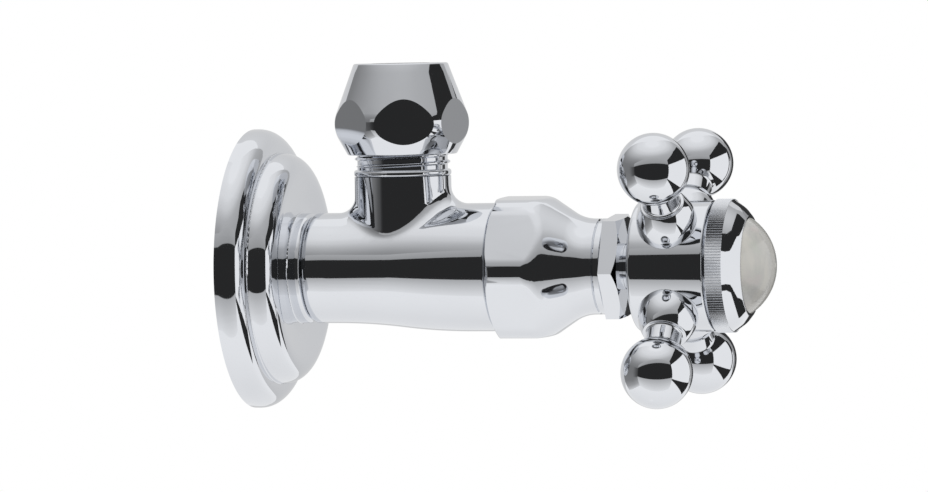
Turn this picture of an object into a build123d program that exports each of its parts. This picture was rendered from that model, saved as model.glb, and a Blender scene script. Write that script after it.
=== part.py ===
from build123d import *
import os
from math import asin, cos, pi, radians, sin, sqrt, tan

# Angle valve with a stepped wall flange, an upright compression outlet and a cross handle.
# The valve's axis is X, from the wall at x = 0 to the handle. The outlet points up, along +Z.
# Sizes are in millimetres. The valve is shown closed.

# Fits between pieces
thread_clearance = 0.05
slip_clearance = 0.10
running_clearance = 0.05
seal_gap = 0.05
joint_gap = 0.10

# Largest share of a side that the roundings at its two ends may take up together
rounding_share = 0.98

# Wall flange, spun from sheet in two rounded steps
flange_diameter = 49.0
flange_rim_height = 4.6
flange_step_diameter = 40.6
flange_step_height = 4.2
flange_edge_radius = 3.9
flange_corner_radius = 0.2
flange_crest_width = 0.6
flange_dish_depth = 0.4
flange_dish_diameter = 23.0
flange_dish_radius = 6.0
flange_neck_length = 2.3
flange_neck_edge_radius = 0.85
flange_sheet = 0.9

# Pipe thread of the inlet and the outlet, at its pitch diameter
pipe_thread_diameter = 15.806
thread_tip_radius = 0.5
inlet_reach = 3.5

# Valve body
body_end_diameter = 19.3
body_diameter = 22.3
body_length = 33.4
body_swell_start = 10.0
body_swell_length = 12.5
body_swell_radius = 100.0
body_edge_radius = 1.2
body_mouth_edge_radius = 0.35
outlet_distance = 16.2
outlet_diameter = 16.9
outlet_blend_radius = 3.2
outlet_collar_diameter = 17.0
outlet_collar_width = 1.2
outlet_collar_height = 17.2
outlet_collar_edge_radius = 0.5
outlet_thread_length = 9.6

# Waterway
inlet_bore_diameter = 10.0
seat_bore_diameter = 8.5
seat_lip_diameter = 10.8
seat_lip_height = 1.2
seat_setback = 6.4
seat_wall = 2.8
chamber_diameter = 15.6
socket_depth = 8.2

# Compression joint for the outlet tube
tube_diameter = 10.0
tube_clearance = 0.10
tube_depth = 12.0
mouth_depth = 1.3
ring_diameter = 13.8
ring_length = 5.0
ring_land = 0.4
nut_across_flats = 21.0
nut_height = 15.9
nut_foot_diameter = 19.0
nut_waist_diameter = 24.5
nut_waist_height = 5.0
nut_waist_radius = 5.5
nut_top_diameter = 16.4
nut_edge_radius = 0.4
nut_thread_gap = 2.6
nut_turn = 18.0

# Bonnet
bonnet_thread_diameter = 18.0
bonnet_across_flats = 24.0
bonnet_corner_radius = 4.9
bonnet_corner_diameter = 26.2
bonnet_foot_diameter = 22.6
bonnet_foot_length = 0.9
bonnet_shoulder_length = 8.0
bonnet_slope_length = 7.15
bonnet_shoulder_radius = 5.0
bonnet_hollow_radius = 7.0
bonnet_blend_radius = 3.0
bonnet_turn = 2.5
bonnet_neck_diameter = 16.6
bonnet_neck_length = 4.5
bonnet_line_depth = 0.25
bonnet_line_width = 0.4
bonnet_collar_length = 1.5
gasket_thickness = 0.8
gasket_width = 2.0

# Stem, packing and gland
stem_diameter = 8.0
stem_thread_diameter = 10.0
stem_thread_length = 13.5
stem_thread_inset = 2.0
stem_nose_diameter = 7.8
stem_square = 5.6
stem_lift = 3.75
stem_stop_gap = 0.75
stem_stop_wall = 2.0
packing_diameter = 11.8
packing_length = 3.0
packing_washer_thickness = 0.6
gland_across_flats = 17.0
gland_head_length = 3.0
gland_chamfer_diameter = 17.2
gland_chamfer_length = 0.7
gland_turn = 5.0

# Valve disc and its washer
disc_diameter = 13.2
disc_thickness = 2.2
disc_rim_depth = 1.2
disc_rim_wall = 0.6
disc_stem_diameter = 4.0
disc_stem_length = 6.8
seat_washer_thickness = 2.95
washer_screw_diameter = 3.0
washer_screw_length = 4.4
washer_screw_head_diameter = 5.2
washer_screw_head_height = 1.6

# Cross handle
handle_gap = 2.2
hub_diameter = 22.6
hub_length = 13.4
hub_edge_radius = 0.8
hub_front_edge_radius = 0.4
hub_back_recess_diameter = 11.0
hub_back_recess_depth = 2.0
hub_front_recess_diameter = 13.2
hub_front_recess_depth = 3.6
hub_spigot_diameter = 19.2
hub_spigot_length = 2.6
arm_count = 4
arm_start_angle = 45.0
arm_reach = 24.3
arm_ball_diameter = 12.3
arm_neck_diameter = 6.2
arm_foot_diameter = 10.4
arm_foot_top_diameter = 7.4
arm_foot_height = 4.5
arm_foot_taper_height = 2.3
arm_foot_side_radius = 8.0
arm_foot_edge_radius = 0.35
arm_hollow_radius = 0.5
arm_stud_diameter = 5.0
arm_stud_length = 5.5
handle_screw_diameter = 4.0
handle_screw_length = 9.0
handle_screw_head_diameter = 7.2
handle_screw_head_height = 2.3
screw_washer_diameter = 9.0
screw_washer_thickness = 0.6
screw_slot_width = 0.9
screw_slot_depth = 1.0
screw_edge_radius = 0.4

# Index ring and dome
index_ring_diameter = 23.0
index_ring_gap = 0.5
knurl_length = 2.8
knurl_depth = 0.18
knurl_pitch = 0.5
bezel_length = 2.8
bezel_crown_length = 1.8
bezel_crown_drop = 1.3
bezel_crown_radius = 4.0
bezel_edge_radius = 0.3
bezel_lip = 0.4
dome_radius = 9.9
dome_window_diameter = 16.6
dome_flange_diameter = 18.6
dome_flange_thickness = 1.2
index_washer_thickness = 0.4

# Places along the valve's axis, worked out from the wall
flange_face_x = flange_rim_height + flange_step_height
flange_dish_x = flange_face_x - flange_dish_depth
flange_end_x = flange_dish_x + flange_neck_length
body_start_x = flange_end_x + joint_gap
body_end_x = body_start_x + body_length
outlet_x = body_start_x + outlet_distance
seat_x = outlet_x - seat_setback
socket_x = body_end_x - socket_depth
bonnet_start_x = socket_x + gasket_thickness
bonnet_hex_x = body_end_x + joint_gap
bonnet_slope_x = bonnet_hex_x + bonnet_shoulder_length
bonnet_line_x = bonnet_slope_x + bonnet_slope_length + bonnet_neck_length - bonnet_collar_length
bonnet_end_x = bonnet_line_x + bonnet_collar_length
washer_x = seat_x + seal_gap
disc_x = washer_x + seat_washer_thickness
disc_back_x = disc_x + disc_thickness
nose_x = disc_back_x + seal_gap
gland_x = bonnet_end_x + joint_gap
gland_end_x = gland_x + gland_head_length
hub_x = gland_end_x + handle_gap
hub_web_x = hub_x + hub_back_recess_depth
hub_front_x = hub_x + hub_length
hub_seat_x = hub_front_x - hub_front_recess_depth
spigot_end_x = hub_front_x + hub_spigot_length
index_ring_x = hub_front_x + index_ring_gap
bezel_x = index_ring_x + knurl_length
bezel_end_x = bezel_x + bezel_length
dome_x = spigot_end_x + index_washer_thickness
dome_flange_end_x = dome_x + dome_flange_thickness

# Places of the stem's thread and packing, worked out from the bonnet's inner end
stem_thread_start_x = bonnet_start_x + stem_thread_inset
stem_thread_end_x = stem_thread_start_x + stem_thread_length
stem_stop_x = stem_thread_end_x + stem_lift + stem_stop_gap
packing_x = stem_stop_x + stem_stop_wall
gland_tip_x = packing_x + packing_washer_thickness + packing_length

# Outlet tube's hole, and places along the outlet's axis
tube_bore_radius = tube_diameter / 2 + tube_clearance
outlet_top_z = outlet_collar_height + outlet_thread_length
mouth_z = outlet_top_z - mouth_depth
ring_z = mouth_z + ring_land + seal_gap
ring_top_z = ring_z + ring_length
nut_z = outlet_collar_height + nut_thread_gap


def outline(corners):
    """Face with straight sides through (x, y, rounding) corners; a short side makes its roundings smaller."""
    points = [Vector(x, y) for x, y, rounding in corners]
    ahead = [points[(i + 1) % len(points)] - points[i] for i in range(len(points))]
    turns = [radians(ahead[i - 1].get_angle(ahead[i])) for i in range(len(points))]
    reaches = [rounding * tan(turn / 2) for (x, y, rounding), turn in zip(corners, turns)]
    shares = []
    for i, side in enumerate(ahead):
        taken = reaches[i] + reaches[(i + 1) % len(points)]
        shares.append(min(1, rounding_share * side.length / taken) if taken else 1)
    radii = [rounding * min(shares[i - 1], shares[i]) for i, (x, y, rounding) in enumerate(corners)]
    return make_face(FilletPolyline(*points, radius=radii, close=True))


def turned(*corners):
    """Solid turned about the valve's axis from (x, radius, rounding) corners."""
    return revolve(Plane.XZ * outline(corners), Axis.X)


def turned_upright(*corners):
    """Solid turned about the outlet's axis from (radius, z, rounding) corners."""
    return Pos(outlet_x, 0, 0) * revolve(Plane.XZ * outline(corners), Axis.Z)


def rod(x0, x1, radius):
    """Round bar on the valve's axis."""
    return turned((x0, 0, 0), (x0, radius, 0), (x1, radius, 0), (x1, 0, 0))


def tube(x0, x1, inner, outer):
    """Plain ring on the valve's axis."""
    return turned((x0, inner, 0), (x0, outer, 0), (x1, outer, 0), (x1, inner, 0))


def upright_rod(z0, z1, radius):
    """Round bar on the outlet's axis."""
    return turned_upright((0, z0, 0), (radius, z0, 0), (radius, z1, 0), (0, z1, 0))


def prism(section, x0, x1):
    """Bar with a flat section, along the valve's axis."""
    return extrude(Plane.YZ.offset(x0) * section, x1 - x0)


def hexagon(across_flats):
    """Hexagon with flats above and below and a corner to each side, before it is turned."""
    return RegularPolygon(across_flats / 2, 6, major_radius=False)


def wall_flange():
    """Two rounded steps, a slightly dished face and a neck that slips over the inlet."""
    rim = flange_diameter / 2
    step = flange_step_diameter / 2
    crest = step - flange_edge_radius - flange_crest_width
    dish = flange_dish_diameter / 2
    neck = body_end_diameter / 2
    sheet = flange_sheet
    inner_edge = flange_edge_radius - sheet
    inner_dish = flange_dish_radius - sheet
    return turned(
        (0, rim, 0),
        (flange_rim_height, rim, flange_edge_radius),
        (flange_rim_height, step, flange_corner_radius),
        (flange_face_x, step, flange_edge_radius),
        (flange_face_x, crest, flange_dish_radius),
        (flange_dish_x, dish, flange_dish_radius),
        (flange_dish_x, neck, flange_corner_radius),
        (flange_end_x, neck, flange_neck_edge_radius),
        (flange_end_x, neck - sheet, 0),
        (flange_dish_x - sheet, neck - sheet, 0),
        (flange_dish_x - sheet, dish, inner_dish),
        (flange_face_x - sheet, crest, inner_dish),
        (flange_face_x - sheet, step - sheet, inner_edge),
        (flange_rim_height - sheet, step - sheet, 0),
        (flange_rim_height - sheet, rim - sheet, inner_edge),
        (0, rim - sheet, 0),
    )


def body_outside():
    """Inlet tail, swelling barrel and upright outlet, blended together."""
    thread = pipe_thread_diameter / 2
    guide = body_end_diameter / 2 - flange_sheet - slip_clearance
    guide_x = flange_dish_x - flange_sheet - slip_clearance
    small = body_end_diameter / 2
    large = body_diameter / 2
    swell_x = body_start_x + body_swell_start
    # the turned face's seam lies underneath, away from the outlet
    barrel = Rot(180, 0, 0) * turned(
        (-inlet_reach, 0, 0),
        (-inlet_reach, thread, thread_tip_radius),
        (guide_x, thread, 0),
        (guide_x, guide, 0),
        (body_start_x, guide, 0),
        (body_start_x, small, body_edge_radius),
        (swell_x, small, body_swell_radius),
        (swell_x + body_swell_length, large, body_swell_radius),
        (body_end_x, large, body_mouth_edge_radius),
        (body_end_x, 0, 0),
    )
    collar_foot_z = outlet_collar_height - outlet_collar_width
    outlet = upright_rod(0, collar_foot_z, outlet_diameter / 2)
    joined = barrel + outlet
    joined = fillet(new_edges(barrel, outlet, combined=joined), outlet_blend_radius)
    collar = turned_upright(
        (0, collar_foot_z, 0),
        (outlet_collar_diameter / 2, collar_foot_z, outlet_collar_edge_radius),
        (outlet_collar_diameter / 2, outlet_collar_height, outlet_collar_edge_radius),
        (0, outlet_collar_height, 0),
    )
    threaded_end = upright_rod(outlet_collar_height, outlet_top_z, thread)
    return joined + collar + threaded_end


def body_waterway():
    """Inlet bore, seat, chamber, bonnet socket and outlet bore."""
    chamber_x = seat_x - seat_lip_height
    inlet = rod(-inlet_reach, chamber_x - seat_wall, inlet_bore_diameter / 2)
    seat = rod(chamber_x - seat_wall, seat_x, seat_bore_diameter / 2)
    chamber = rod(seat_x, socket_x, chamber_diameter / 2)
    moat = tube(chamber_x, seat_x, seat_lip_diameter / 2, chamber_diameter / 2)
    socket = rod(socket_x, body_end_x, bonnet_thread_diameter / 2)
    tube_stop_z = outlet_top_z - tube_depth
    outlet = upright_rod(0, tube_stop_z, seat_bore_diameter / 2)
    mouth = turned_upright(
        (0, tube_stop_z, 0),
        (tube_bore_radius, tube_stop_z, 0),
        (tube_bore_radius, mouth_z, 0),
        (tube_bore_radius + mouth_depth, outlet_top_z, 0),
        (0, outlet_top_z, 0),
    )
    return [inlet, seat, chamber, moat, socket, outlet, mouth]


def valve_body():
    """One casting with its seat machined inside."""
    body = body_outside()
    for cut in body_waterway():
        body -= cut
    return body


def compression_ring():
    """Olive with a 45 degree cone at each end, round the outlet tube."""
    outer = ring_diameter / 2
    land = tube_bore_radius + ring_land
    cone = outer - land
    return turned_upright(
        (tube_bore_radius, ring_z, 0),
        (land, ring_z, 0),
        (outer, ring_z + cone, 0),
        (outer, ring_top_z - cone, 0),
        (land, ring_top_z, 0),
        (tube_bore_radius, ring_top_z, 0),
    )


def compression_nut():
    """Conical nut whose six flats cut its waist as ovals."""
    top_z = nut_z + nut_height
    thread = pipe_thread_diameter / 2 + thread_clearance
    land = tube_bore_radius + ring_land
    cone_z = ring_top_z + seal_gap
    blank = turned_upright(
        (0, nut_z, 0),
        (nut_foot_diameter / 2, nut_z, nut_edge_radius),
        (nut_waist_diameter / 2, nut_z + nut_waist_height, nut_waist_radius),
        (nut_top_diameter / 2, top_z, nut_edge_radius),
        (0, top_z, 0),
    )
    flats = Plane.XY.offset(nut_z) * RegularPolygon(nut_across_flats / 2, 6, major_radius=False)
    spanner = Pos(outlet_x, 0, 0) * Rot(0, 0, nut_turn) * extrude(flats, nut_height)
    bore = turned_upright(
        (0, nut_z, 0),
        (thread, nut_z, 0),
        (thread, cone_z - (thread - land), 0),
        (tube_bore_radius, cone_z + ring_land, 0),
        (tube_bore_radius, top_z, 0),
        (0, top_z, 0),
    )
    return (blank & spanner) - bore


def bonnet():
    """Round-cornered hexagon that runs into a round neck through an ogee."""
    spigot = bonnet_thread_diameter / 2 - thread_clearance
    corner = bonnet_corner_diameter / 2
    neck = bonnet_neck_diameter / 2
    line_end_x = bonnet_line_x + bonnet_line_width
    head = turned(
        (bonnet_hex_x, 0, 0),
        (bonnet_hex_x, bonnet_foot_diameter / 2, 0),
        (bonnet_hex_x + bonnet_foot_length, corner, bonnet_foot_length),
        (bonnet_slope_x, corner, bonnet_shoulder_radius),
        (bonnet_slope_x + bonnet_slope_length, neck, bonnet_hollow_radius),
        (bonnet_end_x, neck, bonnet_line_depth),
        (bonnet_end_x, 0, 0),
    )
    section = hexagon(bonnet_across_flats)
    section = fillet(section.vertices(), bonnet_corner_radius)
    bar = Rot(bonnet_turn, 0, 0) * prism(section, bonnet_hex_x, bonnet_end_x)
    blank = head & bar
    shoulder = new_edges(head, bar, combined=blank)
    shoulder = shoulder.filter_by_position(Axis.X, bonnet_slope_x - bonnet_shoulder_radius, bonnet_end_x)
    blank = fillet(shoulder, bonnet_blend_radius)
    line = turned(
        (bonnet_line_x, neck, 0),
        (bonnet_line_x + bonnet_line_width / 2, neck - bonnet_line_depth, 0),
        (line_end_x, neck, 0),
        (line_end_x, neck + bonnet_line_depth, 0),
        (bonnet_line_x, neck + bonnet_line_depth, 0),
    )
    threaded_end = rod(bonnet_start_x, bonnet_hex_x, spigot)
    stem_thread = rod(bonnet_start_x, stem_stop_x, stem_thread_diameter / 2 + running_clearance)
    stem_hole = rod(stem_stop_x, packing_x, stem_diameter / 2 + running_clearance)
    packing_box = rod(packing_x, bonnet_end_x, packing_diameter / 2)
    return blank + threaded_end - line - stem_thread - stem_hole - packing_box


def bonnet_gasket():
    """Flat seal between the socket's floor and the bonnet's threaded end."""
    outer = bonnet_thread_diameter / 2 - slip_clearance
    return tube(socket_x, bonnet_start_x, outer - gasket_width, outer)


def packing_washer():
    """Brass ring at the bottom of the packing box."""
    inner = stem_diameter / 2 + slip_clearance
    return tube(packing_x, packing_x + packing_washer_thickness, inner, packing_diameter / 2 - slip_clearance)


def stem_packing():
    """Packing ring pressed round the spindle."""
    inner = stem_diameter / 2 + running_clearance
    outer = packing_diameter / 2 - running_clearance
    return tube(gland_tip_x - packing_length, gland_tip_x, inner, outer)


def gland_nut():
    """Hexagon screw that presses the packing, chamfered towards the handle."""
    corner = gland_across_flats / sqrt(3)
    shank = packing_diameter / 2 - thread_clearance
    head = turned(
        (gland_x, 0, 0),
        (gland_x, corner, 0),
        (gland_end_x - gland_chamfer_length, corner, 0),
        (gland_end_x, gland_chamfer_diameter / 2, 0),
        (gland_end_x, 0, 0),
    )
    bar = prism(hexagon(gland_across_flats), gland_x, gland_end_x)
    head = head & (Rot(gland_turn, 0, 0) * bar)
    screw = head + rod(gland_tip_x, gland_x, shank)
    return screw - rod(gland_tip_x, gland_end_x, stem_diameter / 2 + running_clearance)


def spindle():
    """Stem with a nose for the disc, a thread, a round shaft and a square for the handle."""
    square_end_x = hub_seat_x - screw_washer_thickness
    stem = rod(nose_x, stem_thread_start_x, stem_nose_diameter / 2)
    stem += rod(stem_thread_start_x, stem_thread_end_x, stem_thread_diameter / 2)
    stem += rod(stem_thread_end_x, hub_web_x, stem_diameter / 2)
    stem += prism(Rectangle(stem_square, stem_square), hub_web_x, square_end_x)
    stem -= rod(nose_x, nose_x + disc_stem_length, disc_stem_diameter / 2 + running_clearance)
    screw_tip_x = hub_seat_x + screw_washer_thickness - handle_screw_length
    screw_hole = rod(screw_tip_x - joint_gap, square_end_x, handle_screw_diameter / 2 + thread_clearance)
    return stem - screw_hole


def valve_disc():
    """Cup for the rubber washer, with a stem that swivels in the spindle's nose."""
    rim_x = disc_x - disc_rim_depth
    disc = rod(rim_x, disc_back_x, disc_diameter / 2)
    disc -= rod(rim_x, disc_x, disc_diameter / 2 - disc_rim_wall)
    disc += rod(disc_back_x, disc_back_x + disc_stem_length, disc_stem_diameter / 2)
    screw_tip_x = washer_x + washer_screw_length + joint_gap
    return disc - rod(rim_x, screw_tip_x, washer_screw_diameter / 2 + thread_clearance)


def seat_washer():
    """Rubber washer that closes on the seat."""
    outer = disc_diameter / 2 - disc_rim_wall - running_clearance
    return tube(washer_x, disc_x, washer_screw_diameter / 2 + running_clearance, outer)


def slotted_screw(head_x, tip_x, shank_diameter, head_diameter, head_height):
    """Cheese-head screw, from under its head at head_x to its tip; it points along tip_x - head_x."""
    way = 1 if tip_x > head_x else -1
    top_x = head_x - way * head_height
    screw = rod(min(head_x, tip_x), max(head_x, tip_x), shank_diameter / 2)
    head = turned(
        (head_x, 0, 0),
        (head_x, head_diameter / 2, 0),
        (top_x, head_diameter / 2, screw_edge_radius),
        (top_x, 0, 0),
    )
    slot_floor_x = top_x + way * screw_slot_depth
    slot = prism(
        Rectangle(screw_slot_width, head_diameter), min(top_x, slot_floor_x), max(top_x, slot_floor_x)
    )
    return screw + head - slot


def washer_screw():
    """Screw through the rubber washer into the disc."""
    return slotted_screw(
        washer_x,
        washer_x + washer_screw_length,
        washer_screw_diameter,
        washer_screw_head_diameter,
        washer_screw_head_height,
    )


def arm_angles():
    """Turn of each arm about the valve's axis, from straight up."""
    return [arm_start_angle + i * 360 / arm_count for i in range(arm_count)]


def on_arm(shape, angle):
    """Moves a shape made along +Z from the origin to an arm's place on the hub."""
    return Pos(hub_x + hub_length / 2, 0, 0) * Rot(angle, 0, 0) * shape


def handle_hub():
    """Round hub with a square hole, four threaded holes and a spigot for the index ring."""
    outer = hub_diameter / 2
    hub = turned(
        (hub_x, 0, 0),
        (hub_x, outer, hub_edge_radius),
        (hub_front_x, outer, hub_front_edge_radius),
        (hub_front_x, hub_spigot_diameter / 2, 0),
        (spigot_end_x, hub_spigot_diameter / 2, 0),
        (spigot_end_x, 0, 0),
    )
    hub -= rod(hub_x, hub_web_x, hub_back_recess_diameter / 2)
    hub -= rod(hub_seat_x, spigot_end_x, hub_front_recess_diameter / 2)
    square = stem_square + 2 * slip_clearance
    hub -= prism(Rectangle(square, square), hub_web_x, hub_seat_x)
    for angle in arm_angles():
        hole = Cylinder(arm_stud_diameter / 2 + thread_clearance, arm_stud_length + joint_gap)
        hub -= on_arm(Pos(0, 0, outer - (arm_stud_length + joint_gap) / 2) * hole, angle)
    return hub


def handle_arm(angle):
    """Turned arm with a ball, a neck and a bell-shaped foot that sits on the hub."""
    hub_radius = hub_diameter / 2
    neck = arm_neck_diameter / 2
    foot = arm_foot_diameter / 2
    foot_top = hub_radius + arm_foot_height
    stud_bottom = hub_radius - arm_stud_length
    section = outline(
        [
            (0, stud_bottom, 0),
            (foot, stud_bottom, 0),
            (foot, foot_top - arm_foot_taper_height, arm_foot_side_radius),
            (arm_foot_top_diameter / 2, foot_top, arm_foot_edge_radius),
            (neck, foot_top, arm_hollow_radius),
            (neck, arm_reach, 0),
            (0, arm_reach, 0),
        ]
    )
    arm = revolve(Plane.XZ * section, Axis.Z)
    ball = Pos(0, 0, arm_reach) * Sphere(arm_ball_diameter / 2)
    arm = fillet(new_edges(arm, ball, combined=arm + ball), arm_hollow_radius)
    arm -= Rot(0, 90, 0) * Cylinder(hub_radius + running_clearance, hub_length)
    stud = Cylinder(arm_stud_diameter / 2, foot_top - stud_bottom)
    arm += Pos(0, 0, (foot_top + stud_bottom) / 2) * stud
    return on_arm(arm, angle)


def handle_screw():
    """Screw that draws the hub onto the spindle's square."""
    head_x = hub_seat_x + screw_washer_thickness
    return slotted_screw(
        head_x,
        head_x - handle_screw_length,
        handle_screw_diameter,
        handle_screw_head_diameter,
        handle_screw_head_height,
    )


def screw_washer():
    """Plain washer under the handle screw."""
    inner = handle_screw_diameter / 2 + slip_clearance
    return tube(hub_seat_x, hub_seat_x + screw_washer_thickness, inner, screw_washer_diameter / 2)


def knurl_section():
    """Star with one point for each ridge of the knurl."""
    outer = index_ring_diameter / 2
    ridges = round(pi * index_ring_diameter / knurl_pitch)
    points = []
    for i in range(2 * ridges):
        radius = outer - knurl_depth * (i % 2)
        angle = pi * i / ridges
        points.append((radius * cos(angle), radius * sin(angle)))
    return make_face(Polyline(*points, close=True))


def index_ring():
    """Knurled ring with a crowned bezel whose lip holds the dome."""
    outer = index_ring_diameter / 2
    shoulder = outer - knurl_depth
    window = dome_window_diameter / 2
    bezel = turned(
        (bezel_x, 0, 0),
        (bezel_x, shoulder, 0),
        (bezel_x + bezel_crown_length, shoulder - bezel_crown_drop, bezel_crown_radius),
        (bezel_end_x, window + bezel_lip, bezel_edge_radius),
        (bezel_end_x, 0, 0),
    )
    ring = prism(knurl_section(), index_ring_x, bezel_x) + bezel
    ring -= rod(index_ring_x, spigot_end_x, hub_spigot_diameter / 2 + thread_clearance)
    ring -= rod(spigot_end_x, dome_flange_end_x + seal_gap, dome_flange_diameter / 2 + slip_clearance)
    return ring - rod(dome_flange_end_x, bezel_end_x, window)


def index_washer():
    """Rubber ring that presses the dome into the ring's lip."""
    inner = hub_front_recess_diameter / 2 + slip_clearance
    return tube(spigot_end_x, dome_x, inner, dome_flange_diameter / 2)


def index_dome():
    """Pearl dome with a flange behind the ring's lip."""
    window = dome_window_diameter / 2 - slip_clearance
    flange = dome_flange_diameter / 2
    centre_x = bezel_end_x - sqrt(dome_radius**2 - window**2)
    half_way = asin(window / dome_radius) / 2
    cap_middle = (centre_x + dome_radius * cos(half_way), dome_radius * sin(half_way))
    tip = (centre_x + dome_radius, 0)
    sides = Polyline(
        tip,
        (dome_x, 0),
        (dome_x, flange),
        (dome_flange_end_x, flange),
        (dome_flange_end_x, window),
        (bezel_end_x, window),
    )
    cap = ThreePointArc((bezel_end_x, window), cap_middle, tip)
    return revolve(Plane.XZ * make_face([*sides.edges(), cap]), Axis.X)


pieces = {
    "wall_flange": wall_flange(),
    "valve_body": valve_body(),
    "compression_ring": compression_ring(),
    "compression_nut": compression_nut(),
    "bonnet": bonnet(),
    "bonnet_gasket": bonnet_gasket(),
    "packing_washer": packing_washer(),
    "stem_packing": stem_packing(),
    "gland_nut": gland_nut(),
    "spindle": spindle(),
    "valve_disc": valve_disc(),
    "seat_washer": seat_washer(),
    "washer_screw": washer_screw(),
    "handle_hub": handle_hub(),
    "handle_screw": handle_screw(),
    "screw_washer": screw_washer(),
    "index_ring": index_ring(),
    "index_washer": index_washer(),
    "index_dome": index_dome(),
}
for number, angle in enumerate(arm_angles(), start=1):
    pieces[f"handle_arm_{number}"] = handle_arm(angle)

os.makedirs("parts", exist_ok=True)
for name, shape in pieces.items():
    export_step(shape, f"parts/{name}.step")
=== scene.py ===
import bpy
import bmesh
from math import cos, radians, sin, tan
from mathutils import Matrix, Vector


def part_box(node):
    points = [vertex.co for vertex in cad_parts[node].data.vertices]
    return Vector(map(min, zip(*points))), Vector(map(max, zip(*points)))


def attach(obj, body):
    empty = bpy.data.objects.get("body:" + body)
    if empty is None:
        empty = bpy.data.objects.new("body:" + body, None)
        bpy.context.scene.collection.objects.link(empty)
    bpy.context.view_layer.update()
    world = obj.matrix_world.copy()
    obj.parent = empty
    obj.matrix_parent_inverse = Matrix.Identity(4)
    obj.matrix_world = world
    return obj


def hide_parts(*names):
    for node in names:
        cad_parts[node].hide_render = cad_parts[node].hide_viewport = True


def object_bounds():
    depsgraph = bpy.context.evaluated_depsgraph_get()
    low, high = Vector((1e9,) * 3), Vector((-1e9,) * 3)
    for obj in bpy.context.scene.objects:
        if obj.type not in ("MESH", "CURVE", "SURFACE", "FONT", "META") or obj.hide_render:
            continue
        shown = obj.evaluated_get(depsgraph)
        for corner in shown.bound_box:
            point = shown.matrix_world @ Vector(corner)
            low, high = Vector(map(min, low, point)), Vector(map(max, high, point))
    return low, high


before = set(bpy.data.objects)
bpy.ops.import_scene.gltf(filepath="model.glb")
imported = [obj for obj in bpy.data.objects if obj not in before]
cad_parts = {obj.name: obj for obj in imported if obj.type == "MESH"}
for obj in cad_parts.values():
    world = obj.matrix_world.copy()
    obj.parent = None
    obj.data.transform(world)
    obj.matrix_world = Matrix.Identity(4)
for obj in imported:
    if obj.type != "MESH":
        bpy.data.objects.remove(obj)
cad_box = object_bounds()


# Wall flange: a rosette that covers the hole in the wall, spun from brass sheet over a wooden form in two
# quarter-round steps with a slightly dished face. It is buffed and chromed, and its neck slips over the
# inlet until the body's shoulder holds it against the wall.
class Wire:
    """A node's output socket that takes part in Python arithmetic."""

    def __init__(self, tree, socket=None):
        self.tree = tree
        self.socket = socket

    def node(self, kind, settings, inputs, output=0):
        """Adds a node with its settings, then its sockets' values or links, and gives one output."""
        made = self.tree.nodes.new(kind)
        for name, value in settings.items():
            if name == "stops":
                ramp = made.color_ramp.elements
                while len(ramp) < len(value):
                    ramp.new(1.0)
                for element, (position, colour) in zip(ramp, value):
                    element.position = position
                    element.color = (*colour, 1)
            else:
                setattr(made, name, value)
        for name, value in inputs.items():
            if isinstance(value, Wire):
                self.tree.links.new(value.socket, made.inputs[name])
            else:
                made.inputs[name].default_value = value
        return Wire(self.tree, made.outputs[output] if made.outputs else None)

    def math(self, operation, first, second):
        """A Math node on two wires or numbers."""
        return self.node("ShaderNodeMath", {"operation": operation}, {0: first, 1: second})

    def __add__(self, other):
        return self.math("ADD", self, other)

    def __radd__(self, other):
        return self.math("ADD", other, self)

    def __sub__(self, other):
        return self.math("SUBTRACT", self, other)

    def __rsub__(self, other):
        return self.math("SUBTRACT", other, self)

    def __mul__(self, other):
        return self.math("MULTIPLY", self, other)

    def __rmul__(self, other):
        return self.math("MULTIPLY", other, self)

    def stretched(self, cells):
        """These coordinates with so many pattern cells a metre along X, Y and Z."""
        return self.node("ShaderNodeMapping", {"vector_type": "POINT"}, {"Vector": self, "Scale": cells})

    def noise(self, cells, detail):
        """Soft noise from 0 to 1 on these coordinates, of so many cells a metre."""
        return self.node("ShaderNodeTexNoise", {}, {"Vector": self, "Scale": cells, "Detail": detail})

    def step(self, low, high):
        """0 below low, 1 above high and a smooth rise between them."""
        return self.node(
            "ShaderNodeMapRange",
            {"interpolation_type": "SMOOTHSTEP"},
            {"Value": self, "From Min": low, "From Max": high},
        )

    def between(self, low, high):
        """A colour that goes from low to high as this wire goes from 0 to 1."""
        ends = [colour if isinstance(colour, Wire) else (*colour, 1) for colour in (low, high)]
        return self.node("ShaderNodeMix", {"data_type": "RGBA"}, {0: self, 6: ends[0], 7: ends[1]}, 2)

    def relief(self, strength, depth):
        """A Bump node that takes this wire as its height."""
        return self.node("ShaderNodeBump", {}, {"Strength": strength, "Distance": depth, "Height": self})


def new_material(name):
    """An empty node material, and the wire of its object coordinates."""
    made = bpy.data.materials.new(name)
    made.use_nodes = True
    made.node_tree.nodes.clear()
    return made, Wire(made.node_tree).node("ShaderNodeTexCoord", {}, {}, "Object")


def show(shader):
    """Sends a shader to its material's output."""
    shader.node("ShaderNodeOutputMaterial", {}, {"Surface": shader})


def principled(place, inputs):
    """Sends a Principled shader with those values and wires to the output."""
    show(place.node("ShaderNodeBsdfPrincipled", {}, inputs))


weld_distance = 2e-6
edge_degrees = 28


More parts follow.
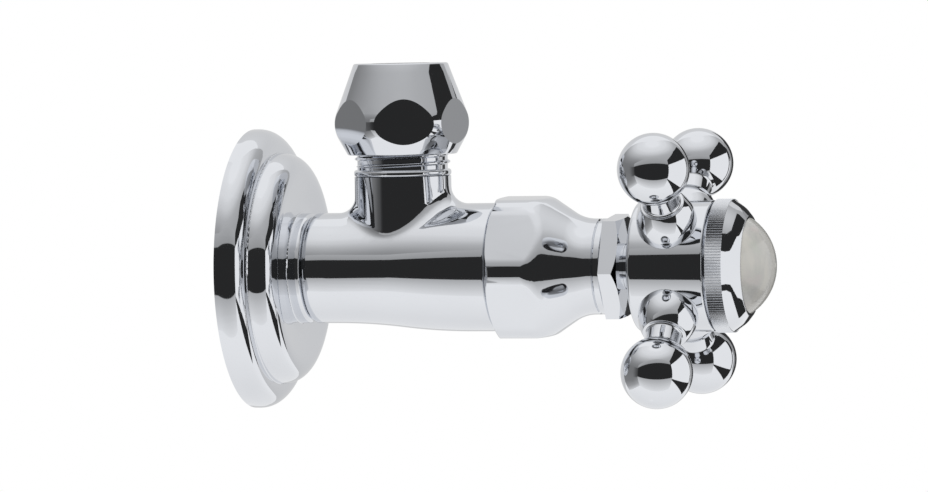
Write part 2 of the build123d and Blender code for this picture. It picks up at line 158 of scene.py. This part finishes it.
def smoothed(mesh, sharp_degrees=edge_degrees, is_edge=None, turn_out=False):
    """Merges doubles, turns the faces outwards where asked, and shades smooth all but the real edges."""
    shape = bmesh.new()
    shape.from_mesh(mesh)
    bmesh.ops.remove_doubles(shape, verts=shape.verts, dist=weld_distance)
    if turn_out:
        bmesh.ops.recalc_face_normals(shape, faces=shape.faces)
    for face in shape.faces:
        face.smooth = True
        face.material_index = 0
    for edge in shape.edges:
        closed = len(edge.link_faces) == 2
        edge.smooth = closed and edge.calc_face_angle() < radians(sharp_degrees)
        if closed and is_edge and is_edge(edge):
            edge.smooth = False
    shape.to_mesh(mesh)
    shape.free()


def piece_of(name, mesh, material, body):
    """An object for a finished mesh that moves with a body."""
    mesh.materials.clear()
    mesh.materials.append(material)
    piece = bpy.data.objects.new(name, mesh)
    bpy.context.scene.collection.objects.link(piece)
    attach(piece, body)
    return piece


def finished(node, material, body, sharp_degrees=edge_degrees, is_edge=None):
    """The node's own shape with clean shading, in its place."""
    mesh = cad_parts[node].data.copy()
    mesh.name = node + "_finished"
    smoothed(mesh, sharp_degrees, is_edge)
    piece = piece_of(mesh.name, mesh, material, body)
    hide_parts(node)


plate_bright = (0.758, 0.775, 0.808)
plate_dull = (0.716, 0.734, 0.770)
plating_cells = 90
haze_cells = 700
buffing_cells = (2400, 170, 170)
ripple_cells = 110
chrome, place = new_material("polished_chrome")
plating = place.noise(plating_cells, detail=3)
haze = place.noise(haze_cells, detail=4)
buffing = place.stretched(buffing_cells).noise(1, detail=2)
ripple = place.noise(ripple_cells, detail=1)
principled(
    place,
    {
        "Base Color": plating.between(plate_dull, plate_bright),
        "Metallic": 1.0,
        "Roughness": 0.012 + haze * 0.03 + buffing * 0.03,
        "Normal": ripple.relief(strength=0.02, depth=0.4e-3),
    },
)
finished("wall_flange", chrome, "valve")

# Valve body: one brass casting, turned on the barrel, the outlet and both threaded ends, then chromed.
# The flange rests against its inlet shoulder, and its pipe threads run out over a quarter turn.
finished("valve_body", chrome, "valve")

thread_pitch = 1.337e-3
thread_pitch_radius = 7.903e-3
thread_crest = 0.43e-3
thread_sunk = 0.10e-3
thread_root_width = 0.90e-3
thread_crest_width = 0.22e-3
thread_points_a_turn = 64
run_out_turns = 0.25
thread_tree = bpy.data.node_groups.new("pipe_thread", "GeometryNodeTree")
for size in ("Pitch Radius", "Crest", "Sunk", "Root Width", "Crest Width", "Turns", "Rise"):
    thread_tree.interface.new_socket(size, in_out="INPUT", socket_type="NodeSocketFloat")
thread_tree.interface.new_socket("Thread", in_out="OUTPUT", socket_type="NodeSocketGeometry")
given = thread_tree.nodes.new("NodeGroupInput")
sizes = {socket.name: Wire(thread_tree, socket) for socket in given.outputs if socket.name}
tree = Wire(thread_tree)
helix = tree.node(
    "GeometryNodeCurveSpiral",
    {},
    {
        "Resolution": thread_points_a_turn,
        "Rotations": sizes["Turns"],
        "Start Radius": sizes["Pitch Radius"],
        "End Radius": sizes["Pitch Radius"],
        "Height": sizes["Turns"] * sizes["Rise"],
        "Reverse": True,
    },
)
upright = tree.node("GeometryNodeSetCurveNormal", {"mode": "Z_UP"}, {"Curve": helix})


def ridge_corner(outward, along):
    """A corner of the ridge's section, from the pitch radius outward and along the thread's axis."""
    return tree.node("ShaderNodeCombineXYZ", {}, {"X": outward, "Y": along})


section = tree.node(
    "GeometryNodeCurvePrimitiveQuadrilateral",
    {"mode": "POINTS"},
    {
        "Point 1": ridge_corner(sizes["Sunk"] * -1.0, sizes["Root Width"] * -0.5),
        "Point 2": ridge_corner(sizes["Crest"], sizes["Crest Width"] * -0.5),
        "Point 3": ridge_corner(sizes["Crest"], sizes["Crest Width"] * 0.5),
        "Point 4": ridge_corner(sizes["Sunk"] * -1.0, sizes["Root Width"] * 0.5),
    },
)
along = tree.node("GeometryNodeSplineParameter", {}, {}, "Factor")
turns_to_end = tree.math("MINIMUM", along, 1.0 - along) * sizes["Turns"]
run_out = turns_to_end * (1 / run_out_turns)
ridge = tree.node(
    "GeometryNodeCurveToMesh",
    {},
    {
        "Curve": upright,
        "Profile Curve": section,
        "Scale": tree.math("MINIMUM", run_out, 1.0),
        "Fill Caps": True,
    },
)
whole = tree.node("GeometryNodeRealizeInstances", {}, {"Geometry": ridge})
plated = tree.node("GeometryNodeSetMaterial", {}, {"Geometry": whole, "Material": chrome})
tree.node("NodeGroupOutput", {}, {0: plated})


def pipe_thread(name, length, placing):
    """The visible ridge of a pipe thread, made along Z and then put in its place."""
    holder = bpy.data.objects.new(name + "_path", bpy.data.meshes.new(name + "_path"))
    bpy.context.scene.collection.objects.link(holder)
    modifier = holder.modifiers.new("pipe_thread", "NODES")
    modifier.node_group = thread_tree
    values = {
        "Pitch Radius": thread_pitch_radius,
        "Crest": thread_crest,
        "Sunk": thread_sunk,
        "Root Width": thread_root_width,
        "Crest Width": thread_crest_width,
        "Turns": (length - thread_root_width) / thread_pitch,
        "Rise": thread_pitch,
    }
    for item in thread_tree.interface.items_tree:
        if item.in_out == "INPUT":
            modifier[item.identifier] = values[item.name]
    depsgraph = bpy.context.evaluated_depsgraph_get()
    mesh = bpy.data.meshes.new_from_object(holder.evaluated_get(depsgraph))
    bpy.data.objects.remove(holder)
    mesh.name = name
    mesh.transform(placing @ Matrix.Translation((0, 0, thread_root_width / 2)))
    smoothed(mesh, turn_out=True)
    piece_of(name, mesh, chrome, "valve")


nut_low, nut_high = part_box("compression_nut")
outlet_axis = Vector(((nut_low[0] + nut_high[0]) / 2, 0, 0))
collar_top = 17.2e-3
thread_in_nut = 0.6e-3
outlet_length = nut_low[2] - collar_top + thread_in_nut
thread_start_degrees = 162
thread_start = Matrix.Rotation(radians(thread_start_degrees), 4, "Z")
on_collar = Matrix.Translation((outlet_axis.x, 0, collar_top))
pipe_thread("outlet_thread", outlet_length, on_collar @ thread_start)
inlet_tip, inlet_end = -3.1e-3, 7.3e-3
along_x = Matrix.Rotation(radians(90), 4, "Y")
pipe_thread("inlet_thread", inlet_end - inlet_tip, Matrix.Translation((inlet_tip, 0, 0)) @ along_x)

# Compression ring and nut: an olive of soft brass, bare, is squeezed on the outlet tube by a conical nut.
# The nut is turned from bar, six flats are milled across its waist, which leave ovals, and it is chromed.
brass_light = (0.72, 0.54, 0.28)
brass_dark = (0.60, 0.42, 0.19)
tool_line_cells = (5200, 300, 300)
tarnish_cells = 260
brass, place = new_material("turned_brass")
tool_lines = place.stretched(tool_line_cells).noise(1, detail=2)
tarnish = place.noise(tarnish_cells, detail=4)
principled(
    place,
    {
        "Base Color": tarnish.between(brass_dark, brass_light),
        "Metallic": 1.0,
        "Roughness": 0.16 + tarnish * 0.14 + tool_lines * 0.08,
        "Normal": tool_lines.relief(strength=0.05, depth=0.05e-3),
    },
)
finished("compression_ring", brass, "valve")
upright_slope = 0.002


def is_flat_edge(edge):
    """Whether an edge of the nut parts a milled flat from the cone."""
    first, second = (abs(face.normal.z) < upright_slope for face in edge.link_faces)
    return first != second


finished("compression_nut", chrome, "valve", is_edge=is_flat_edge)

# Bonnet and gland: the bonnet is turned from round-cornered hexagon bar, so each corner runs out into the
# round neck as a teardrop. It screws into the body on a fibre seal, and the gland nut presses the packing.
crisp_degrees = 20
finished("bonnet", chrome, "valve")
finished("gland_nut", chrome, "valve", sharp_degrees=crisp_degrees)
finished("packing_washer", brass, "valve")
fibre_dark = (0.28, 0.06, 0.04)
fibre_light = (0.42, 0.12, 0.08)
strand_cells = (900, 2600, 2600)
fibre, place = new_material("vulcanised_fibre")
strands = place.stretched(strand_cells).noise(1, detail=4)
principled(
    place,
    {
        "Base Color": strands.between(fibre_dark, fibre_light),
        "Roughness": 0.62 + strands * 0.25,
        "Normal": strands.relief(strength=0.3, depth=0.08e-3),
    },
)
finished("bonnet_gasket", fibre, "valve")
packing_dark = (0.66, 0.66, 0.63)
packing_light = (0.84, 0.84, 0.81)
braid_cells = 1900
packing, place = new_material("pressed_packing")
braid = place.noise(braid_cells, detail=3)
principled(
    place,
    {
        "Base Color": braid.between(packing_dark, packing_light),
        "Roughness": 0.48 + braid * 0.3,
        "Normal": braid.relief(strength=0.35, depth=0.1e-3),
    },
)
finished("stem_packing", packing, "valve")

# Spindle and valve disc: the chromed spindle screws through the bonnet and carries a brass disc in its
# nose. A rubber washer sits in the disc's cup, under a screw, and closes on the seat.
finished("spindle", chrome, "handle")
for node in ("valve_disc", "washer_screw"):
    finished(node, brass, "disc")
rubber_black = (0.016, 0.016, 0.017)
rubber_grey = (0.045, 0.045, 0.046)
bloom_cells = 850
mould_cells = 2600
rubber, place = new_material("moulded_rubber")
bloom = place.noise(bloom_cells, detail=4)
mould_grain = place.noise(mould_cells, detail=2)
principled(
    place,
    {
        "Base Color": bloom.between(rubber_black, rubber_grey),
        "Roughness": 0.55 + bloom * 0.3,
        "Normal": mould_grain.relief(strength=0.15, depth=0.05e-3),
    },
)
finished("seat_washer", rubber, "disc")

# Cross handle: a turned hub on the spindle's square, drawn up by a steel screw and washer under the dome.
# Four turned arms with a ball, a slim neck and a bell-shaped foot screw into it.
finished("handle_hub", chrome, "handle")
for number in (1, 2, 3, 4):
    finished(f"handle_arm_{number}", chrome, "handle")
steel_dark = (0.50, 0.50, 0.50)
steel_light = (0.64, 0.64, 0.63)
grain_cells = (400, 4200, 400)
steel, place = new_material("bare_steel")
grain = place.stretched(grain_cells).noise(1, detail=3)
principled(
    place,
    {
        "Base Color": grain.between(steel_dark, steel_light),
        "Metallic": 1.0,
        "Roughness": 0.22 + grain * 0.16,
        "Normal": grain.relief(strength=0.05, depth=0.04e-3),
    },
)
for node in ("handle_screw", "screw_washer"):
    finished(node, steel, "handle")

# Index ring: a chromed brass ring screwed on the hub's front. Its rim is straight-knurled for the fingers,
# so the plate there is a little dull, and its polished bezel slopes down to the lip that holds the dome.
ring_low, ring_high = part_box("index_ring")
bezel_start = (ring_low[0] + ring_high[0]) / 2
knurl_dullness = 0.19
fade_before, fade_after = 0.05e-3, 0.02e-3
wear_cells = 900
knurled, place = new_material("knurled_chrome")
across = place.node("ShaderNodeSeparateXYZ", {}, {"Vector": place}, "X")
on_knurl = 1.0 - across.step(bezel_start - fade_before, bezel_start + fade_after)
wear = place.noise(wear_cells, detail=3)
principled(
    place,
    {
        "Base Color": place.noise(plating_cells, detail=3).between(plate_dull, plate_bright),
        "Metallic": 1.0,
        "Roughness": 0.02 + wear * 0.03 + on_knurl * (knurl_dullness + wear * 0.1),
    },
)
finished("index_ring", knurled, "handle", sharp_degrees=crisp_degrees)
finished("index_washer", rubber, "handle")

# Index dome: a polished button of pearl shell held behind the ring's lip on a rubber washer. Its layers
# show as soft clouds of cream and grey with a faint green and pink cast, under a clear gloss.
pearl_cream = (0.600, 0.585, 0.540)
pearl_grey = (0.500, 0.497, 0.480)
pearl_green = (0.500, 0.530, 0.470)
pearl_pink = (0.610, 0.545, 0.530)
layer_cells = (160, 420, 130)
green_cells = 150
pink_cells = (230, 150, 260)
pearl, place = new_material("pearl_shell")
layers = place.stretched(layer_cells).noise(1, detail=5)
clouds = layers.step(0.3, 0.7).between(pearl_grey, pearl_cream)
green = place.noise(green_cells, detail=2).step(0.52, 0.75) * 0.8
pink = place.stretched(pink_cells).noise(1, detail=2).step(0.55, 0.78) * 0.7
tinted = pink.between(green.between(clouds, pearl_green), pearl_pink)
principled(
    place,
    {
        "Base Color": tinted,
        "Roughness": 0.24 + layers * 0.12,
        "Coat Weight": 0.5,
        "Coat Roughness": 0.06,
        "Normal": layers.relief(strength=0.03, depth=0.1e-3),
    },
)
finished("index_dome", pearl, "handle")

# Camera: a long lens a little above the valve's axis, turned towards the handle, as the photograph has it.
# Its distance, its aim and its focal length in pixels were fitted to the outline of the valve.
yaw, rise, roll = radians(15.5), radians(2.46), radians(-1.09)
distance, lens_px = 0.873, 5000.0
aim_right, aim_up = 0.01037, 0.003775
photo_width = 928
sensor_mm = 36.0
back = Vector((sin(yaw) * cos(rise), -cos(yaw) * cos(rise), sin(rise)))
level = Vector((cos(yaw), sin(yaw), 0))
upward = back.cross(level)
right = level * cos(roll) + upward * sin(roll)
up = upward * cos(roll) - level * sin(roll)
aim = outlet_axis + right * aim_right + up * aim_up
lens = bpy.data.cameras.new("camera")
lens.sensor_width = sensor_mm
lens.lens = sensor_mm * lens_px / photo_width
camera = bpy.data.objects.new("camera", lens)
bpy.context.scene.collection.objects.link(camera)
turn = Matrix((right, up, back)).transposed().to_4x4()
camera.matrix_world = Matrix.Translation(aim + back * distance) @ turn
bpy.context.scene.camera = camera

# Studio: a round white tent that darkens towards its foot, seen only in the chrome. Close to the valve stand
# a card with the slit for the lens, a grey card at the left, a bright window at the right and dark flags.
toward = Vector((sin(yaw), -cos(yaw), 0))


def even(grey):
    """The stops of a card of one tone."""
    return [(0, grey), (1, grey)]


def straight(first, last, low, high):
    """The two posts of a flat card of one height, each given as (right, toward the lens)."""
    return [(*first, low, high), (*last, low, high)]


def tone_up(place, stops):
    """A grey that follows the stops, each (height, grey), up a card."""
    foot = stops[0][0]
    span = stops[-1][0] - foot
    greys = [((z - foot) / span, (grey, grey, grey)) for z, grey in stops]
    height = place.node("ShaderNodeSeparateXYZ", {}, {"Vector": place}, "Z")
    return place.node("ShaderNodeValToRGB", {"stops": greys}, {"Fac": (height - foot) * (1 / span)})


def card(name, posts, stops, last_stops=None, change=(0, 1)):
    """A glowing card along its posts, each (right, toward the lens, low z, high z).

    Its grey follows the stops up its height, and on the way to the last post it changes to the last stops.
    """
    feet = [outlet_axis + level * u + toward * v for u, v, low, high in posts]
    points = [foot + Vector((0, 0, z)) for foot, ends in zip(feet, posts) for z in ends[2:]]
    faces = [(2 * k, 2 * k + 2, 2 * k + 3, 2 * k + 1) for k in range(len(posts) - 1)]
    mesh = bpy.data.meshes.new(name)
    mesh.from_pydata(points, [], faces)
    glowing, place = new_material(name)
    way = feet[-1] - feet[0]
    reach = place.node("ShaderNodeVectorMath", {"operation": "DOT_PRODUCT"}, {0: place, 1: way}, "Value")
    share = (reach - feet[0].dot(way)) * (1 / way.length_squared)
    tone = share.step(*change).between(tone_up(place, stops), tone_up(place, last_stops or stops))
    show(tone.node("ShaderNodeEmission", {}, {"Color": tone, "Strength": 1.0}))
    mesh.materials.append(glowing)
    piece = bpy.data.objects.new(name, mesh)
    bpy.context.scene.collection.objects.link(piece)
    piece.visible_camera = False
    piece.visible_diffuse = False
    piece.visible_shadow = False


tent_radius = 0.45
tent_middle = 0.03


def risen(degrees):
    """The height on the tent's wall that is seen so many degrees above the valve."""
    return tent_middle + tent_radius * tan(radians(degrees))


def post(bearing, radius, low, high):
    """A post that stands at a bearing to the right of the lens, at a radius from the outlet."""
    return (radius * sin(radians(bearing)), radius * cos(radians(bearing)), low, high)


tent_foot, tent_top = risen(0), risen(75)
tent_bearings = range(-135, 136, 5)
left_tones = [
    (0, 0.21), (12, 0.23), (20, 0.28), (28, 0.37), (36, 0.51),
    (43, 0.63), (48, 0.74), (58, 0.88), (75, 0.98),
]
front_tones = [
    (0, 0.42), (20, 0.44), (30, 0.48), (38, 0.53),
    (43, 0.63), (48, 0.74), (58, 0.88), (75, 0.98),
]
card(
    "tent_wall",
    [post(bearing, tent_radius, tent_foot, tent_top) for bearing in tent_bearings],
    [(risen(degrees), grey) for degrees, grey in left_tones],
    [(risen(degrees), grey) for degrees, grey in front_tones],
    change=(-0.10, 0.35),
)
back_low, back_high = -0.180, 0.420
card(
    "tent_back",
    straight((-0.500, -0.350), (0.500, -0.350), back_low, back_high),
    [(back_low, 0.66), (0.0, 0.72), (0.200, 0.72), (back_high, 0.80)],
)

black = 0.026
slit_left, slit_right = -0.190, 0.150
slit_front = 0.132
slit_foot, slit_top = -0.170, 0.090
slit_low, slit_high = -0.048, 0.053
slit_edge = 0.6e-3
card(
    "lens_slit",
    straight((slit_left, slit_front), (slit_right, slit_front), slit_foot, slit_top),
    [
        (slit_foot, 0.80),
        (-0.085, 0.46),
        (slit_low - slit_edge, 0.36),
        (slit_low, 0.12),
        (slit_high, 0.12),
        (slit_high + slit_edge, 0.30),
        (slit_top, 0.38),
    ],
    [
        (slit_foot, 0.93),
        (-0.119, 0.80),
        (-0.085, 0.68),
        (slit_low - slit_edge, 0.50),
        (slit_low, black),
        (slit_high, black),
        (slit_high + slit_edge, 0.38),
        (slit_top, 0.48),
    ],
    change=(-0.12, 0.14),
)
grey_low, grey_high = -0.175, 0.050
card(
    "grey_left",
    straight((slit_left, -0.160), (slit_left, slit_front), grey_low, grey_high),
    [(grey_low, 0.75), (-0.130, 0.40), (-0.080, 0.25), (0.0, 0.21), (grey_high, 0.22)],
    [(grey_low, 0.75), (-0.130, 0.45), (-0.060, 0.25), (slit_low, 0.09), (slit_high, 0.09)],
    change=(0.7, 1.0),
)
card("window", straight((slit_right, 0.130), (slit_right, -0.048), -0.058, 0.050), even(1.0))

flag_right = 0.152
card(
    "flag_side",
    [
        (flag_right, 0.135, -0.070, 0.090),
        (flag_right, 0.030, -0.100, 0.110),
        (flag_right, -0.060, -0.120, 0.115),
    ],
    even(black),
)
flag_radius = 0.44
flag_foot = 0.05
flag_tops = [
    (60, 8), (66, 21), (70, 28), (74, 32), (80, 33), (90, 33),
    (100, 32), (108, 30), (115, 26), (121, 20), (126, 12),
]
card(
    "flag_high",
    [post(bearing, flag_radius, flag_foot, risen(degrees)) for bearing, degrees in flag_tops],
    even(black),
)
flag_behind = -0.075
flag_join = 0.115
card("flag_edge", straight((flag_right, flag_behind), (flag_join, flag_behind), -0.050, 0.060), even(0.35))
card("flag_back", straight((flag_join, flag_behind), (0.075, flag_behind), -0.050, 0.060), even(0.04))

# Floor: white paper well below the valve. The camera and the chrome see it white, and a little darker behind
# the valve, while the lamps light it as matt paper that keeps the shadow.
floor_drop = 0.16
floor_reach = 3.0
floor_white = 0.75
paper_grey = (0.72, 0.72, 0.72, 1)
paper_white = (1, 1, 1, 1)
shade_behind = 0.18
shade_near, shade_far = 0.10, 0.32
floor_z = cad_box[0][2] - floor_drop
shade_middle = outlet_axis - toward * shade_behind + Vector((0, 0, floor_z))


def is_seen(place):
    """1 for rays that look at a surface, straight, in metal or through glass, and 0 for those that light."""
    camera_ray = place.node("ShaderNodeLightPath", {}, {}, "Is Camera Ray")
    glossy_ray = place.node("ShaderNodeLightPath", {}, {}, "Is Glossy Ray")
    passing_ray = place.node("ShaderNodeLightPath", {}, {}, "Is Transmission Ray")
    return place.math("MAXIMUM", camera_ray, place.math("MAXIMUM", glossy_ray, passing_ray))


mesh = bpy.data.meshes.new("floor")
ends = (-floor_reach, floor_reach)
mesh.from_pydata([(x, y, floor_z) for x in ends for y in ends], [], [(0, 2, 3, 1)])
paper, place = new_material("floor_paper")
matt = place.node("ShaderNodeBsdfDiffuse", {}, {"Color": paper_grey})
white = place.node("ShaderNodeEmission", {}, {"Color": paper_white, "Strength": 1.0})
apart = place.node("ShaderNodeVectorMath", {"operation": "DISTANCE"}, {0: place, 1: shade_middle}, "Value")
whiteness = floor_white + apart.step(shade_near, shade_far) * (1 - floor_white)
show(place.node("ShaderNodeMixShader", {}, {0: is_seen(place) * whiteness, 1: matt, 2: white}))
mesh.materials.append(paper)
floor = bpy.data.objects.new("floor", mesh)
bpy.context.scene.collection.objects.link(floor)

# Light: the tent's even glow, which the camera and the chrome see as white though it lights the valve less,
# and one soft box high in front of the valve, which lights it but isn't mirrored in it.
tent_light = 0.7
world = bpy.data.worlds.new("tent")
world.use_nodes = True
world.node_tree.nodes.clear()
sky = Wire(world.node_tree)
strength = tent_light + is_seen(sky) * (1 - tent_light)
glow = sky.node("ShaderNodeBackground", {}, {"Color": paper_white, "Strength": strength})
sky.node("ShaderNodeOutputWorld", {}, {"Surface": glow})
bpy.context.scene.world = world

softbox_front, softbox_height = 0.5, 1.1
softbox = bpy.data.lights.new("softbox", "AREA")
softbox.energy = 6.0
softbox.size = 0.8
lamp = bpy.data.objects.new("softbox", softbox)
bpy.context.scene.collection.objects.link(lamp)
lamp.location = outlet_axis + toward * softbox_front + Vector((0, 0, softbox_height))
lamp.rotation_euler = (outlet_axis - lamp.location).to_track_quat("-Z", "Y").to_euler()
lamp.visible_glossy = False

bpy.context.scene.view_settings.view_transform = "Standard"
